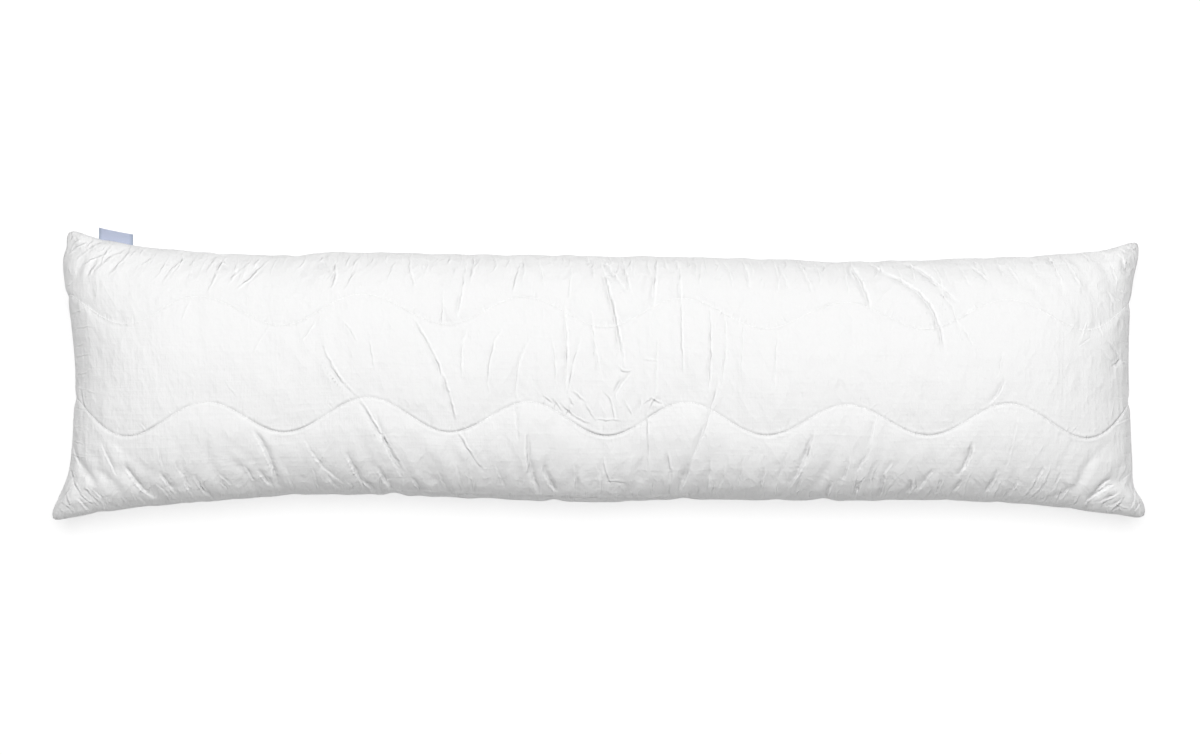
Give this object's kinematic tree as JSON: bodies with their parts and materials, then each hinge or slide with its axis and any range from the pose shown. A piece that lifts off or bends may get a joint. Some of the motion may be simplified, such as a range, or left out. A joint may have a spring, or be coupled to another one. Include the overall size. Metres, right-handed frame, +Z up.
{
  "type": "body pillow",
  "caption": "Long quilted body pillow, filled and crowned, with drawn-in sides, wavy sewn channels and a small bare woven tab in its seam.",
  "frame": {"origin": "middle of the whole, on the surface that the pillow lies on", "axes": "+X along the pillow's length, +Y across it towards the seam that holds the tab, +Z up out of the upper panel"},
  "size_m": [1.4254, 0.3806, 0.164],
  "materials": {
    "cover": "matte fine-woven white microfibre, quilted in waves",
    "label": "pale blue satin-woven ribbon, bare"
  },
  "bodies": {
    "root": {"pillow": "cover", "label": "label"}
  },
  "joints": []
}
